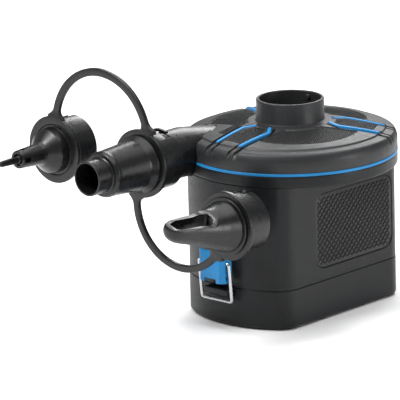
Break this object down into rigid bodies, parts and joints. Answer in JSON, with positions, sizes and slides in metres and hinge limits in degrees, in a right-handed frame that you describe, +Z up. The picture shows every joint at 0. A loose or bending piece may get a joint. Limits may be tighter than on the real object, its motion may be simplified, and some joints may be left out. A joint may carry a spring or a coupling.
{
  "type": "electric air mattress pump",
  "caption": "Battery-powered air pump with grip flats, domed lid, intake collar, side outlet with tethered nozzles, and a bail-latched battery cover.",
  "frame": {"origin": "on the vertical axis of the pump and its intake collar, at the underside of the battery cover", "axes": "+Z up along the intake collar, -Y towards the latch and the nozzles, the grip flats face +X and -X"},
  "size_m": [0.1926, 0.2102, 0.1518],
  "materials": {
    "body_plastic": "charcoal satin moulded plastic, fine grain",
    "lid_plastic": "dark grey satin moulded plastic, fine grain",
    "blue_plastic": "vivid blue moulded plastic, satin gloss",
    "nozzle_plastic": "soft black plastic, semi-gloss",
    "grip_plastic": "black textured soft-touch panel",
    "wire_steel": "bright zinc-plated spring wire",
    "sheet_steel": "plain steel",
    "brass": "plain brass",
    "magnet": "dull sintered ferrite and laminations",
    "cell_wrap": "plain printed cell sleeve without markings",
    "lead_red": "red PVC insulation",
    "lead_black": "black PVC insulation"
  },
  "bodies": {
    "root": {"main_housing": "body_plastic", "battery_deck": "body_plastic", "top_cover": "lid_plastic", "intake_collar": "lid_plastic", "trim_ring": "blue_plastic", "accent_front": "blue_plastic", "accent_right": "blue_plastic", "accent_left": "blue_plastic", "intake_guard": "body_plastic", "outlet_tube": "body_plastic", "tube_pins": "body_plastic", "volute": "body_plastic", "fan_cover": "lid_plastic", "motor_plate": "lid_plastic", "motor_can": "sheet_steel", "motor_end_cap": "body_plastic", "motor_magnets": "magnet", "motor_bushes": "brass", "motor_terminals": "brass", "motor_screws": "sheet_steel", "lid_screws": "sheet_steel", "battery_cradle": "lid_plastic", "cell_1": "cell_wrap", "cell_2": "cell_wrap", "cell_3": "cell_wrap", "cell_4": "cell_wrap", "top_contacts": "sheet_steel", "switch_body": "body_plastic", "switch_terminals": "brass", "lead_red": "lead_red", "lead_black": "lead_black", "grip_left": "grip_plastic", "grip_right": "grip_plastic", "latch_pin": "wire_steel"},
    "cover": {"battery_cover": "body_plastic", "cover_catch": "body_plastic", "cover_contacts": "sheet_steel", "contact_springs": "sheet_steel"},
    "lever": {"latch_lever": "blue_plastic"},
    "bail": {"latch_bail": "wire_steel"},
    "rotor": {"impeller": "body_plastic", "motor_shaft": "sheet_steel", "armature": "magnet", "commutator": "brass"},
    "switch": {"switch_knob": "blue_plastic"},
    "tether": {"tether": "nozzle_plastic"},
    "conical": {"nozzle_conical": "nozzle_plastic", "conical_sleeve": "nozzle_plastic", "sleeve_jaws": "nozzle_plastic"},
    "pinch": {"nozzle_pinch": "nozzle_plastic", "pinch_tongue": "nozzle_plastic"},
    "scoop": {"nozzle_scoop": "nozzle_plastic"}
  },
  "joints": [
    {"name": "cover_swing", "type": "hinge", "parent": "root", "child": "cover", "pos_m": [0, 0.0636, 0.02365], "axis": [1, 0, 0], "range_deg": [0, 27]},
    {"name": "latch_turn", "type": "hinge", "parent": "root", "child": "lever", "pos_m": [0, -0.0706, 0.0314], "axis": [1, 0, 0], "range_deg": [0, 90.5]},
    {"name": "bail_turn", "type": "hinge", "parent": "lever", "child": "bail", "pos_m": [0, -0.0704, 0.0403], "axis": [1, 0, 0], "range_deg": [-171.5, 0]},
    {"name": "impeller_spin", "type": "hinge", "parent": "root", "child": "rotor", "pos_m": [0, 0, 0.082], "axis": [0, 0, 1], "continuous": true},
    {"name": "switch_slide", "type": "slide", "parent": "root", "child": "switch", "axis": [0, 0, 1], "range_m": [0, 0.006]},
    {"name": "nozzle_pull", "type": "slide", "parent": "root", "child": "tether", "axis": [0, -1, 0], "range_m": [0, 0.028]},
    {"name": "bayonet_twist", "type": "hinge", "parent": "tether", "child": "conical", "pos_m": [-0.0364, -0.092, 0.0988], "axis": [0, 1, 0], "range_deg": [0, 36]},
    {"name": "pinch_swivel", "type": "hinge", "parent": "tether", "child": "pinch", "pos_m": [-0.1078, -0.092, 0.0964], "axis": [0, 1, 0], "continuous": true},
    {"name": "scoop_swivel", "type": "hinge", "parent": "tether", "child": "scoop", "pos_m": [0.031, -0.092, 0.0719], "axis": [0, 1, 0], "continuous": true}
  ],
  "couplings": [
    {"joint": "latch_turn", "follows": "cover_swing", "ratio": 3.3333},
    {"joint": "bail_turn", "follows": "cover_swing", "ratio": -6.3333}
  ]
}
